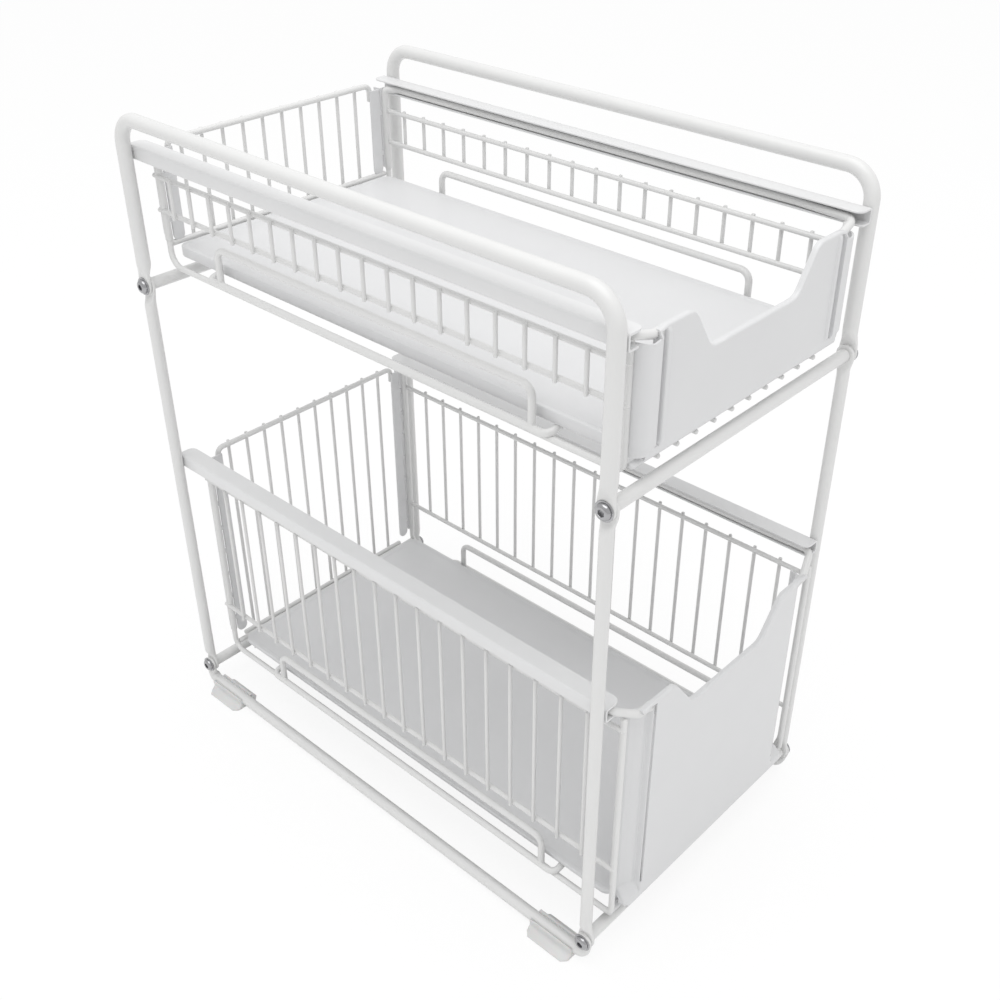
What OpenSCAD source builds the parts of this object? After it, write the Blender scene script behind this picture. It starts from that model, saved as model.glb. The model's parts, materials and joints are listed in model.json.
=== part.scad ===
// Two-tier pull-out cabinet basket: a bolted tube frame carrying two wire
// drawers that hang in folded C-rails. Origin at the middle of the footprint
// on the floor, X across, +Y to the back, Z up. The drawers pull out to -Y.

/* [Frame] */
// Post centre to post centre across the frame
frame_w = 232.6; // [210:0.1:320]
// Post centre to post centre from front to back
frame_d = 400; // [360:1:480]
// Height of the lower posts, bolt to bolt
post_h = 335.4; // [330:0.1:400]
// Middle bolt up to the centre line of the top tube
top_h = 114.4; // [112:0.1:150]
// Outside diameter of the top hoops
top_tube_d = 9.5; // [8.5:0.1:11]
// Outside diameter of the lower posts
post_tube_d = 8; // [7.5:0.1:9]
// Outside diameter of the crossbars and of the base tubes
bar_d = 8.2; // [7.6:0.1:9]
// Centre line radius of the top hoops' corners
top_bend_r = 18; // [12:1:30]
// Centre line radius where the base tubes turn up
base_bend_r = 6.5; // [6:0.5:7.5]
// Base tube centre line below the base bolts
base_drop = 14.2; // [14:0.1:20]

/* [Joints] */
// Thickness of a squeezed tube end
flat_t = 2.6; // [2:0.1:3.2]
// Diameter of the round eye on a squeezed end
eye_d = 12; // [11:0.5:13]
// Length over which a tube is squeezed flat
squeeze_l = 9; // [6:0.5:12]
// Diameter of the bolt shanks
bolt_d = 5; // [4:0.5:5]
// Length of the bolt shanks
bolt_l = 19; // [14:1:24]
// Diameter of the bolt heads' flange
bolt_flange_d = 12.2; // [11.5:0.1:13]
// Thickness of the bolt heads' flange
bolt_flange_t = 0.9; // [0.6:0.1:1.2]
// Diameter of the bolt heads
bolt_head_d = 10; // [9:0.1:11]
// Height of a bolt head above its flange
bolt_head_h = 2.4; // [2:0.1:3]
// Hexagon socket across flats
socket_af = 4; // [3:0.5:5]
// Wall of the crossbar tubes
bar_wall = 1; // [0.8:0.1:1.2]
// Length of the threaded inserts
insert_l = 14; // [10:1:18]
// Clearance of a bolt in its eyes and insert
bolt_gap = 0.1; // [0.05:0.05:0.2]

/* [Feet] */
// Length of a foot along its tube
foot_l = 36; // [28:1:44]
// Width of a foot's base plate
foot_w = 24; // [20:1:30]
// Thickness of the base plate
foot_t = 2.7; // [2.2:0.1:3.5]
// Wall of the clip that holds the tube
foot_wall = 1.3; // [1:0.1:1.6]
// Middle of a foot behind or before the post
foot_inset = 25; // [24:1:60]

/* [Slide rails] */
// Height of the C-rails
rail_h = 9.7; // [9.2:0.1:12]
// Sheet thickness of the C-rails
rail_t = 1.2; // [0.8:0.1:1.5]
// How far a rail runs past each post centre
rail_over = 3.5; // [2:0.5:5]
// Corner cut off the rails' front flanges
rail_chamfer = 5; // [3:0.5:7]
// Middle of the upper rails above the middle bolts
upper_rail_rise = 90.2; // [86:0.1:92]
// Middle of the lower rails above the base bolts
lower_rail_rise = 194; // [180:0.1:210]
// Gap between a drawer's wire and the rail that carries it
slide_gap = 0.3; // [0.2:0.05:0.6]

/* [Drawers] */
// Rim wire to rim wire across a drawer's sides
drawer_w = 198.4; // [185:0.1:203]
// Rim wire diameter
rim_d = 4; // [3.6:0.1:4.4]
// Grille wires that run front to back
grille_d = 3.4; // [3:0.1:3.6]
// Upright grille wires
upright_d = 2.6; // [2.2:0.1:2.8]
// Front face of a drawer beyond the front post centres
front_over = 2.3; // [1:0.1:4]
// Back wires in front of the rear post centres
back_inset = 6.5; // [6:0.5:16]
// How far the lower drawer stands forward of the upper one
lower_forward = 5; // [0:0.5:10]
// Side rim wire below the rail's middle, upper drawer
upper_depth = 78.5; // [70:0.5:81]
// Side rim wire below the rail's middle, lower drawer
lower_depth = 178.5; // [150:0.5:179]
// Grille wires outside the rim wire, centre to centre
grille_out = 1.2; // [0.8:0.1:1.4]
// First grille wire below the rail's middle
grille_drop = 16.8; // [15:0.1:22]
// Height of the upper drawer's side grilles
upper_grille_h = 23.3; // [18:0.1:28]
// Height of the lower drawer's side grilles
lower_grille_h = 119; // [80:0.5:120]
// Uprights in an upper side grille
upper_uprights = 17; // [12:1:20]
// Uprights in a lower side grille
lower_uprights = 18; // [12:1:20]
// Spacing of the uprights
upright_pitch = 20.6; // [16:0.1:21]
// First upright behind the front panel, upper drawer
upper_first = 29.8; // [20:0.1:34]
// First upright behind the front panel, lower drawer
lower_first = 23.2; // [20:0.1:34]
// Grille wires' ends behind the rear rim wire
grille_tail = 2.5; // [2:0.5:9]
// How far wire ends stand past the wire they are welded to
nub = 0.5; // [0.3:0.1:2]
// Depth by which welded wires sink into each other
weld = 0.4; // [0.3:0.05:0.6]
// Radius of the rim wire's tight bends
rim_bend_r = 5; // [4:0.5:6]
// Radius of the side panels' bottom corners
side_corner_r = 15; // [10:1:20]
// Wires in the back panel and in the floor grid
back_wires = 10; // [8:1:12]
// Spacing of those wires
back_pitch = 17.2; // [15:0.1:18]
// Floor grid wire diameter
floor_d = 3; // [2.6:0.1:3.2]

/* [Guards] */
// Guard wire diameter
guard_d = 4.6; // [4.2:0.1:5]
// Leg to leg along a guard
guard_l = 270; // [200:5:300]
// Top bar above the bottom bar, centre to centre
guard_h = 24.3; // [20:0.1:30]
// Bottom bar past each leg
guard_tail = 12; // [10:0.5:16]
// How far the lower guards stand forward of the drawer's middle
lower_guard_shift = 8; // [0:0.5:16]
// Length of the bottom bar's turned-in ends
guard_hook = 11; // [9:0.5:14]
// Rise of the turned-in ends
hook_rise = 2; // [1.5:0.1:2.2]
// Guard bar outside the side panels' wires, centre to centre
guard_out = 2.6; // [2.4:0.1:3.2]

/* [Front panels] */
// Sheet thickness of panels and corner pieces
sheet_t = 1.2; // [0.8:0.1:1.4]
// Full width of the front panel's top edge
panel_w = 193; // [180:1:194]
// Width of the panel between its two grooves
face_w = 155; // [140:1:160]
// Width of the grooves
groove_w = 7; // [5:0.5:8]
// Depth of the folded edges
fold = 4.3; // [4:0.1:6]
// Width of the hand notch at the top
notch_w = 115; // [90:1:125]
// Width of the hand notch at its floor
notch_floor = 75; // [50:1:85]
// Depth of the hand notch
notch_depth = 26.3; // [18:0.1:32]
// Radius of the notch corners
notch_r = 8; // [4:0.5:10]
// Top of the upper front panel below the rail's middle
upper_shoulder = 1.1; // [1:0.1:8]
// Top of the lower front panel below the rail's middle
lower_shoulder = 7.4; // [1:0.1:16]
// Radius of the rolled corner pieces
roll_r = 6; // [4:0.5:7]
// Rolled corner pieces below the panel's top
corner_drop = 8.6; // [8.4:0.1:12]
// Rolled corner pieces above the panel's bottom
corner_lift = 4.5; // [2:0.5:6]
// Grooves end above the panel's bottom
groove_lift = 8.5; // [7:0.5:12]
// Length of the leaf that runs back along the side
leaf_l = 11; // [9:0.5:16]

/* [Rear corners] */
// How far the rear corner pieces reach behind the rim wires
rear_wing = 6.5; // [3:0.5:6.5]
// Lower drawer's rear cross wire in front of its rim wires' upright run
lower_bar_in = 3.9; // [2:0.1:5]
// Lower drawer's rear cross wire above its rim wires
lower_bar_up = 4.9; // [3.5:0.1:6]
// Width of the rear corner pieces' leaves
rear_leaf = 11.4; // [9:0.1:13]
// Length of the locking slots in the rear corners
slot_l = 14; // [8:1:20]
// Width of the locking slots
slot_w = 1.6; // [1.2:0.1:2.4]

/* [Trays] */
// Sheet thickness of the trays
tray_t = 0.9; // [0.7:0.1:1.2]
// Upper tray surface above the rim wire
upper_tray_rise = 13.6; // [12.5:0.1:16]
// Lower tray surface above the rim wire
lower_tray_rise = 10; // [9.5:0.1:16]
// Clear space between a tray and the side wires
tray_gap = 1.8; // [1:0.1:3]
// Height of the upper tray's side flanges
upper_flange = 6.4; // [4:0.1:6.6]
// Height of the lower tray's side flanges
lower_flange = 2.8; // [2:0.1:2.8]
// Diameter of the bead round the tray
bead_d = 2.6; // [2:0.1:3]

/* [Hidden] */
$fn = 40;
swell = 0.06;
bite = 0.2;

// Heights of the two rows of bolts above the floor
base_z = foot_t + bar_d / 2 + base_drop;
mid_z = base_z + post_h;
post_x = frame_w / 2;
post_y = frame_d / 2;
top_z = mid_z + top_h;
bar_end_x = post_x - flat_t;
bar_bore_d = bar_d - 2 * bar_wall;

// Drawer planes
side_x = drawer_w / 2;
grille_x = side_x + grille_out;
front_y = -post_y - front_over;
back_y = post_y - back_inset;
rail_edge_x = side_x + rim_d / 2 + 1.2;
slide_x = rail_edge_x + rim_d / 2 + 0.8;
seam = 0.15;
panel_y = back_y + rim_d / 2 - seam;
rim_front_y = front_y + sheet_t + rim_d / 2 - seam;
upper_rail_z = mid_z + upper_rail_rise;
lower_rail_z = base_z + lower_rail_rise;

// The front wire crosses over the upper drawer's rim wires, and under the
// lower drawer's.
wire_step = rim_d - seam;

// A drawer, as [rail middle, rim wire, grille height, uprights, panel top,
// front wire, tray surface, tray flange, first upright, guard's middle,
// rear cross wire's place across Y and Z]
UPPER = [upper_rail_z, upper_rail_z - upper_depth, upper_grille_h, upper_uprights,
         upper_rail_z - upper_shoulder, upper_rail_z - upper_depth + wire_step,
         upper_rail_z - upper_depth + upper_tray_rise, upper_flange, upper_first, 0,
         [back_y, upper_rail_z - upper_depth + upper_tray_rise + 0.7]];
LOWER = [lower_rail_z, lower_rail_z - lower_depth, lower_grille_h, lower_uprights,
         lower_rail_z - lower_shoulder, lower_rail_z - lower_depth - wire_step,
         lower_rail_z - lower_depth + lower_tray_rise, lower_flange, lower_first,
         -lower_guard_shift,
         [back_y - lower_bar_in, lower_rail_z - lower_depth + lower_bar_up]];
function rail_z(tier) = tier[0];
function rim_z(tier) = tier[1];
function grille_h(tier) = tier[2];
function uprights(tier) = tier[3];
function panel_top(tier) = tier[4];
function end_z(tier) = tier[5];
function tray_z(tier) = tier[6];
function flange_h(tier) = tier[7];
function upright_y(tier, i) = front_y + tier[8] + i * upright_pitch;
function guard_y(tier) = tier[9];
function bar_at(tier) = tier[10];
function panel_bottom(tier) = end_z(tier) + rim_d / 2 - 0.3;
function slide_z(tier) = rail_z(tier) - rail_h / 2 + rail_t + slide_gap + rim_d / 2;
function grid_z(tier) = end_z(tier) - (rim_d + floor_d) / 2 + seam;

function unit(v) = v / norm(v);
function turn(u, v) = acos(max(-1, min(1, u * v)));

// A straight round bar from a to b
module rod(a, b, d) {
    v = b - a;
    translate(a)
        rotate([0, acos(v.z / norm(v)), atan2(v.y, v.x)])
            cylinder(d = d, h = norm(v));
}

// The bend of a round bar at corner p, coming in along u and leaving along v.
// It is drawn a hair thicker, so that the bars' ends sit inside it.
module bend(p, u, v, d, r) {
    w = unit(cross(u, v));
    side = cross(w, u);
    c = p - r * tan(turn(u, v) / 2) * u + r * side;
    multmatrix([[-side.x, u.x, w.x, c.x],
                [-side.y, u.y, w.y, c.y],
                [-side.z, u.z, w.z, c.z],
                [0, 0, 0, 1]])
        rotate_extrude(angle = turn(u, v)) translate([r, 0]) circle(d = d + swell);
}

// A round bar of diameter d along the points, bent at radius r at each corner
module wire(points, d, r) {
    last = len(points) - 1;
    along = [for (i = [0:last - 1]) unit(points[i + 1] - points[i])];
    cut = [for (i = [0:last])
        i == 0 || i == last ? 0 : r * tan(turn(along[i - 1], along[i]) / 2) - bite];
    for (i = [0:last - 1])
        rod(points[i] + cut[i] * along[i], points[i + 1] - cut[i + 1] * along[i], d);
    for (i = [1:last - 1])
        bend(points[i], along[i - 1], along[i], d, r);
}

module bolt_hole() {
    rotate([0, 90, 0]) cylinder(r = bolt_d / 2 + bolt_gap, h = 4 * eye_d, center = true);
}

// A tube end squeezed flat, eye at the origin with its bolt along X and the
// tube rising along Z. The flat lies on the +X side of the axis if out is true.
module squeezed_end(tube_d, out) {
    x0 = out ? 0 : -flat_t;
    neck = eye_d / 2 + 1;
    intersection() {
        cylinder(d = tube_d, h = neck + squeeze_l);
        rotate([90, 0, 0])
            linear_extrude(height = 2 * tube_d, center = true)
                polygon([[x0, 0], [x0 + flat_t, 0], [x0 + flat_t, neck],
                         [tube_d / 2, neck + squeeze_l], [-tube_d / 2, neck + squeeze_l],
                         [x0, neck]]);
    }
    translate([x0, 0, 0]) {
        rotate([0, 90, 0]) cylinder(d = eye_d, h = flat_t);
        rotate([90, 0, 90])
            linear_extrude(height = flat_t)
                polygon([[-eye_d / 2, 0], [eye_d / 2, 0],
                         [tube_d / 2 - 0.2, neck + 2], [-tube_d / 2 + 0.2, neck + 2]]);
    }
}
squeezed_h = eye_d / 2 + 1 + squeeze_l;

// One inverted-U hoop of the top frame, on the +X side
module top_frame() {
    color("whitesmoke") difference() {
        union() {
            wire([[post_x, -post_y, mid_z + squeezed_h], [post_x, -post_y, top_z],
                  [post_x, post_y, top_z], [post_x, post_y, mid_z + squeezed_h]],
                 top_tube_d, top_bend_r);
            for (y = [-post_y, post_y])
                translate([post_x, y, mid_z]) squeezed_end(top_tube_d, true);
        }
        for (y = [-post_y, post_y]) translate([post_x, y, mid_z]) bolt_hole();
    }
}

// One lower post on the +X side, squeezed flat at both ends
module post(y) {
    color("whitesmoke") difference() {
        union() {
            rod([post_x, y, base_z + squeezed_h], [post_x, y, mid_z - squeezed_h], post_tube_d);
            translate([post_x, y, base_z]) squeezed_end(post_tube_d, false);
            translate([post_x, y, mid_z]) mirror([0, 0, 1]) squeezed_end(post_tube_d, false);
        }
        for (z = [base_z, mid_z]) translate([post_x, y, z]) bolt_hole();
    }
}

// One base tube on the +X side, with both ends turned up into flat eyes
module base_frame() {
    foot_line = base_z - base_drop;
    squeeze_z = base_bend_r - base_drop;
    neck_z = -eye_d / 2 - 0.1;
    color("whitesmoke") difference() {
        union() {
            wire([[post_x, -post_y, base_z + squeeze_z + bite], [post_x, -post_y, foot_line],
                  [post_x, post_y, foot_line], [post_x, post_y, base_z + squeeze_z + bite]],
                 bar_d, base_bend_r);
            for (y = [-post_y, post_y])
                translate([post_x, y, base_z]) {
                    rotate([0, 90, 0]) cylinder(d = eye_d, h = flat_t);
                    intersection() {
                        translate([0, 0, squeeze_z]) cylinder(d = bar_d, h = -squeeze_z);
                        rotate([90, 0, 0])
                            linear_extrude(height = 2 * bar_d, center = true)
                                polygon([[-bar_d / 2, squeeze_z], [bar_d / 2, squeeze_z],
                                         [flat_t, neck_z], [flat_t, 0], [0, 0], [0, neck_z]]);
                    }
                }
        }
        for (y = [-post_y, post_y]) translate([post_x, y, base_z]) bolt_hole();
    }
}

// A crossbar between the squeezed ends of two posts
module crossbar(y, z) {
    color("whitesmoke") difference() {
        rod([-bar_end_x, y, z], [bar_end_x, y, z], bar_d);
        rod([-bar_end_x - 1, y, z], [bar_end_x + 1, y, z], bar_bore_d);
    }
}

module crossbar_inserts() {
    color("silver") for (z = [base_z, mid_z], y = [-post_y, post_y], s = [-1, 1])
        difference() {
            rod([s * bar_end_x, y, z], [s * (bar_end_x - insert_l), y, z], bar_bore_d);
            translate([0, y, z]) rotate([0, 90, 0])
                cylinder(r = bolt_d / 2 + bolt_gap, h = frame_w, center = true);
        }
}

// A flanged button-head bolt on the +X side, driven in along -X
module bolt(y, z) {
    translate([post_x + flat_t, y, z]) rotate([0, 90, 0]) difference() {
        union() {
            translate([0, 0, -bolt_l]) cylinder(d = bolt_d, h = bolt_l);
            cylinder(d = bolt_flange_d, h = bolt_flange_t);
            translate([0, 0, bolt_flange_t])
                cylinder(d1 = bolt_head_d, d2 = bolt_head_d - 2, h = bolt_head_h);
        }
        translate([0, 0, bolt_flange_t])
            cylinder(d = socket_af / cos(30), h = bolt_head_h + 1, $fn = 6);
    }
}

module bolts(z) {
    color("lightgray") for (y = [-post_y, post_y], s = [0, 1])
        mirror([s, 0, 0]) bolt(y, z);
}

// A snap-on foot under a base tube on the +X side
module foot(y) {
    foot_line = base_z - base_drop;
    clip_r = bar_d / 2 + foot_wall;
    color("gainsboro") translate([post_x, y, 0]) rotate([90, 0, 0])
        linear_extrude(height = foot_l, center = true) difference() {
            union() {
                polygon([[-foot_w / 2, 0], [foot_w / 2, 0], [foot_w / 2, foot_t * 0.6],
                         [clip_r, foot_t + 0.6], [-clip_r, foot_t + 0.6],
                         [-foot_w / 2, foot_t * 0.6]]);
                intersection() {
                    translate([0, foot_line]) circle(r = clip_r);
                    translate([-clip_r, 0]) square([2 * clip_r, foot_line + 1.2]);
                }
            }
            translate([0, foot_line]) circle(d = bar_d + 0.1);
        }
}

// Outer face of a rail welded to a tube of this diameter
function rail_out(tube_d) = post_x - tube_d / 2 + seam;

// One C-rail on the +X side, welded to tubes of diameter tube_d
module rail(z, tube_d) {
    out = rail_out(tube_d);
    top_edge = rail_edge_x - 3.2;
    rail_l = frame_d + 2 * rail_over;
    color("white") translate([0, 0, z]) difference() {
        rotate([90, 0, 0]) linear_extrude(height = rail_l, center = true)
            polygon([[out, -rail_h / 2], [out, rail_h / 2], [top_edge, rail_h / 2],
                     [top_edge, rail_h / 2 - rail_t], [out - rail_t, rail_h / 2 - rail_t],
                     [out - rail_t, -rail_h / 2 + rail_t],
                     [rail_edge_x, -rail_h / 2 + rail_t], [rail_edge_x, -rail_h / 2]]);
        linear_extrude(height = 2 * rail_h, center = true)
            polygon([[top_edge - 1, -rail_l / 2 - 1], [top_edge + rail_chamfer, -rail_l / 2 - 1],
                     [top_edge + rail_chamfer, -rail_l / 2],
                     [top_edge, -rail_l / 2 + rail_chamfer], [top_edge - 1, -rail_l / 2 + rail_chamfer]]);
    }
}

// One side of a drawer on the +X side: the rim wire with its run in the rail,
// two grille wires and the uprights welded outside them
module side_panel(tier) {
    wire1_z = rail_z(tier) - grille_drop;
    wire2_z = wire1_z - grille_h(tier);
    fold_z = panel_top(tier) - sheet_t - rim_d / 2 - 3;
    grille_y0 = front_y + roll_r + 1.5;
    upright_x = grille_x + grille_d / 2 + upright_d / 2 - weld;
    color("whitesmoke") {
        wire([[side_x - 12, rim_front_y, fold_z], [side_x - 1.2, rim_front_y, fold_z],
              [side_x - 0.4, rim_front_y, slide_z(tier)], [slide_x, rim_front_y + 6, slide_z(tier)],
              [slide_x, back_y - 10, slide_z(tier)], [side_x, back_y, slide_z(tier)],
              [side_x, back_y, wire2_z + 2]], rim_d, 2.4);
        wire([[side_x, back_y, wire2_z + 2], [side_x, back_y, rim_z(tier)],
              [side_x, rim_front_y + 6, rim_z(tier)]], rim_d, side_corner_r);
        wire([[side_x, rim_front_y + 6, rim_z(tier)], [side_x, rim_front_y, rim_z(tier)],
              [side_x - 14, rim_front_y, rim_z(tier)]], rim_d, rim_bend_r);
        for (z = [wire1_z, wire2_z])
            rod([grille_x, grille_y0, z], [grille_x, back_y + grille_tail, z], grille_d);
        for (i = [0:uprights(tier) - 1])
            rod([upright_x, upright_y(tier, i), wire2_z - grille_d / 2],
                [upright_x, upright_y(tier, i), wire1_z + nub + grille_d / 2], upright_d);
    }
}

// One guard on the +X side: an arch standing on a bar with turned-in ends. The
// arch leans inwards a little, beside the middle of the bar.
module guard(tier) {
    x = side_x + guard_out;
    arch_x = x - 0.9;
    bar_z = rim_z(tier) + sqrt(pow((rim_d + guard_d) / 2 - seam, 2) - guard_out * guard_out);
    end_y = guard_l / 2 + guard_tail;
    color("whitesmoke") translate([0, guard_y(tier), 0]) {
        wire([[arch_x, -guard_l / 2, bar_z], [arch_x, -guard_l / 2, bar_z + guard_h],
              [arch_x, guard_l / 2, bar_z + guard_h], [arch_x, guard_l / 2, bar_z]], guard_d, 7);
        wire([[x - guard_hook, -end_y, bar_z + hook_rise], [x, -end_y, bar_z],
              [x, end_y, bar_z], [x - guard_hook, end_y, bar_z + hook_rise]],
             guard_d, rim_bend_r);
    }
}

// The back panel: a top wire and one or two low wires with the uprights behind
// them, and the cross wire between the rim wires
module back_panel(tier) {
    top = slide_z(tier) + 4.6;
    half = side_x - rim_d / 2 + seam;
    bar_x = (back_wires - 1) / 2 * back_pitch + 12;
    upright_y = panel_y + rim_d / 2 + upright_d / 2 - weld;
    second_z = rim_z(tier) + 4.5;
    color("whitesmoke") {
        wire([[-bar_x, panel_y, top - 12], [-bar_x, panel_y, top],
              [bar_x, panel_y, top], [bar_x, panel_y, top - 12]], rim_d, rim_bend_r);
        for (i = [0:back_wires - 1]) {
            x = (i - (back_wires - 1) / 2) * back_pitch;
            rod([x, upright_y, end_z(tier) - 1], [x, upright_y, top + rim_d / 2 + nub - 1], upright_d);
        }
        rod([-bar_x, panel_y, end_z(tier)], [bar_x, panel_y, end_z(tier)], rim_d);
        if (second_z > end_z(tier) + rim_d)
            rod([-bar_x, panel_y, second_z], [bar_x, panel_y, second_z], rim_d);
        translate([0, bar_at(tier)[0], bar_at(tier)[1]])
            rod([-half, 0, 0], [half, 0, 0], rim_d);
    }
}

// The floor grid: lengthwise wires under the end wires, with two cross wires
module floor_grid(tier) {
    z = grid_z(tier);
    cross_x = (back_wires - 1) / 2 * back_pitch + 4;
    color("whitesmoke") {
        for (i = [0:back_wires - 1]) {
            x = (i - (back_wires - 1) / 2) * back_pitch;
            rod([x, rim_front_y - rim_d / 2 - 0.4, z], [x, panel_y + rim_d / 2 + 0.6, z], floor_d);
        }
        for (y = [-post_y / 3, post_y / 3])
            rod([-cross_x, y, z + floor_d - weld], [cross_x, y, z + floor_d - weld], floor_d);
    }
}

// The sheet tray: flat deck, raised bead, folded sides, and end folds that
// stand on the floor grid
module tray(tier) {
    half = side_x - rim_d / 2 - tray_gap;
    y0 = rim_front_y + rim_d / 2 + 1;
    y1 = bar_at(tier)[0] - rim_d / 2 - sheet_t - 1;
    top = tray_z(tier);
    deck_z = top - tray_t;
    seat_z = grid_z(tier) + floor_d / 2 - seam;
    color("white") {
        translate([-half, y0, deck_z]) cube([2 * half, y1 - y0, tray_t]);
        for (s = [0, 1]) mirror([s, 0, 0]) {
            translate([half - tray_t, y0 + 8, top - flange_h(tier)])
                cube([tray_t, y1 - y0 - 16, flange_h(tier)]);
            rod([half - bead_d / 2, y0, deck_z + 0.3], [half - bead_d / 2, y1, deck_z + 0.3], bead_d);
        }
        for (y = [y0, y1 - tray_t])
            translate([-half + 6, y, seat_z]) cube([2 * half - 12, tray_t, top - seat_z]);
        for (y = [y0 + bead_d / 2, y1 - bead_d / 2])
            rod([-half + bead_d / 2, y, deck_z + 0.3], [half - bead_d / 2, y, deck_z + 0.3], bead_d);
    }
}

// Half the outline of the front panel's top edge, from the shoulder inwards:
// a rounded step down to the floor of the hand notch
function arc(c, r, a0, a1, n) = [for (i = [0:n]) c + r * [cos(a0 + (a1 - a0) * i / n),
                                                          sin(a0 + (a1 - a0) * i / n)]];
slope_run = (notch_w - notch_floor) / 2;
slope_a = atan2(notch_depth, slope_run);
slope_t = notch_r * tan(slope_a / 2);
function notch_side(top) = concat(
    arc([notch_w / 2 + slope_t, top - notch_r], notch_r, 90, 90 + slope_a, 6),
    arc([notch_floor / 2 - slope_t, top - notch_depth + notch_r], notch_r,
        270 + slope_a, 270, 6));
function flip(points) = [for (i = [len(points) - 1:-1:0]) [-points[i].x, points[i].y]];

module panel_outline(tier) {
    top = panel_top(tier);
    low = panel_bottom(tier);
    half = panel_w / 2;
    polygon(concat([[half, low], [half, top - 3], [half - 3, top]], notch_side(top),
                   flip(notch_side(top)), [[-half + 3, top], [-half, top - 3], [-half, low]]));
}

// The front panel: one sheet with a hand notch, all edges folded back, two
// grooves beside the corner pieces, and the wire welded under it
module front_panel(tier) {
    top = panel_top(tier);
    low = panel_bottom(tier);
    groove_x = face_w / 2;
    outer_x = groove_x + groove_w;
    color("gainsboro") {
        difference() {
            translate([0, front_y, 0]) rotate([90, 0, 0])
                translate([0, 0, -sheet_t]) linear_extrude(height = sheet_t) panel_outline(tier);
            for (s = [0, 1]) mirror([s, 0, 0]) {
                translate([groove_x, front_y - 1, low + groove_lift])
                    cube([groove_w + 1, sheet_t + 2, top - corner_drop - low - groove_lift]);
                translate([outer_x, front_y - 1, low + corner_lift])
                    cube([groove_w * 3, sheet_t + 2, top - corner_drop - low - corner_lift]);
            }
        }
        translate([0, front_y, 0]) rotate([90, 0, 0])
            translate([0, 0, -fold]) linear_extrude(height = fold) difference() {
                panel_outline(tier);
                translate([0, -sheet_t]) panel_outline(tier);
                translate([-panel_w, low]) square([2 * panel_w, top - notch_depth - sheet_t - 4 - low]);
            }
        translate([-panel_w / 2 + 4, front_y, low]) cube([panel_w - 8, fold, sheet_t]);
        for (s = [0, 1]) mirror([s, 0, 0])
            translate([groove_x - sheet_t, front_y, low]) cube([sheet_t, fold, top - low - 0.5]);
        rod([-side_x + 9, rim_front_y, end_z(tier)], [side_x - 9, rim_front_y, end_z(tier)], rim_d);
    }
}

// One front corner piece on the +X side, folded from sheet and standing along
// Z: the groove's floor and wall, a front strip, the rolled corner, and a leaf
module front_corner(tier) {
    wall_x = face_w / 2 + groove_w;
    leaf_x = grille_x - grille_d / 2 - sheet_t + seam;
    roll_c = [leaf_x + sheet_t - roll_r, front_y + roll_r];
    low = panel_bottom(tier) + corner_lift + 0.2;
    high = panel_top(tier) - corner_drop - 0.2;
    color("gainsboro") translate([0, 0, low]) linear_extrude(height = high - low) {
        translate([face_w / 2 - seam, front_y + fold - sheet_t])
            square([groove_w + sheet_t + seam, sheet_t]);
        translate([wall_x, front_y]) square([sheet_t, fold]);
        translate([wall_x, front_y]) square([roll_c.x - wall_x, sheet_t]);
        difference() {
            intersection() {
                translate(roll_c) circle(r = roll_r);
                translate([roll_c.x, roll_c.y - roll_r]) square(roll_r);
            }
            translate(roll_c) circle(r = roll_r - sheet_t);
        }
        translate([leaf_x, roll_c.y]) square([sheet_t, leaf_l - roll_r]);
    }
}

// One rear corner piece on the +X side: a leaf in front of the back panel, with
// locking slots down it, and a wing that runs back inside the rim wire
module rear_corner(tier) {
    wing_x = side_x - rim_d / 2 - sheet_t + seam;
    leaf_y = back_y - sheet_t;
    low = tray_z(tier) + 0.8;
    high = slide_z(tier) + 1;
    span = high - low - 12;
    count = max(1, floor(span / (2 * slot_l)));
    step = span / count;
    color("gainsboro") difference() {
        translate([0, 0, low]) linear_extrude(height = high - low) {
            translate([wing_x + sheet_t - rear_leaf, leaf_y]) square([rear_leaf, sheet_t]);
            translate([wing_x, leaf_y]) square([sheet_t, sheet_t + rear_wing]);
        }
        for (i = [0:count - 1])
            translate([wing_x - 1 - slot_w, leaf_y - 1, low + 6 + i * step])
                cube([slot_w, sheet_t + 2, min(slot_l, step - 4)]);
    }
}

// The lower drawer's parts, moved forward
module lower() {
    translate([0, -lower_forward, 0]) children();
}

mirror([1, 0, 0]) top_frame();  // top_frame_left
top_frame();  // top_frame_right
mirror([1, 0, 0]) post(-post_y);  // post_front_left
post(-post_y);  // post_front_right
mirror([1, 0, 0]) post(post_y);  // post_rear_left
post(post_y);  // post_rear_right
mirror([1, 0, 0]) base_frame();  // base_frame_left
base_frame();  // base_frame_right
crossbar(-post_y, mid_z);  // mid_crossbar_front
crossbar(post_y, mid_z);  // mid_crossbar_rear
crossbar(-post_y, base_z);  // base_crossbar_front
crossbar(post_y, base_z);  // base_crossbar_rear
crossbar_inserts();
bolts(mid_z);  // mid_bolts
bolts(base_z);  // base_bolts
mirror([1, 0, 0]) foot(-post_y + foot_inset);  // foot_front_left
foot(-post_y + foot_inset);  // foot_front_right
mirror([1, 0, 0]) foot(post_y - foot_inset);  // foot_rear_left
foot(post_y - foot_inset);  // foot_rear_right
mirror([1, 0, 0]) rail(upper_rail_z, top_tube_d);  // upper_rail_left
rail(upper_rail_z, top_tube_d);  // upper_rail_right
mirror([1, 0, 0]) rail(lower_rail_z, post_tube_d);  // lower_rail_left
rail(lower_rail_z, post_tube_d);  // lower_rail_right
mirror([1, 0, 0]) side_panel(UPPER);  // upper_side_left
side_panel(UPPER);  // upper_side_right
mirror([1, 0, 0]) guard(UPPER);  // upper_guard_left
guard(UPPER);  // upper_guard_right
back_panel(UPPER);  // upper_back_panel
floor_grid(UPPER);  // upper_floor_grid
tray(UPPER);  // upper_tray
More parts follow.
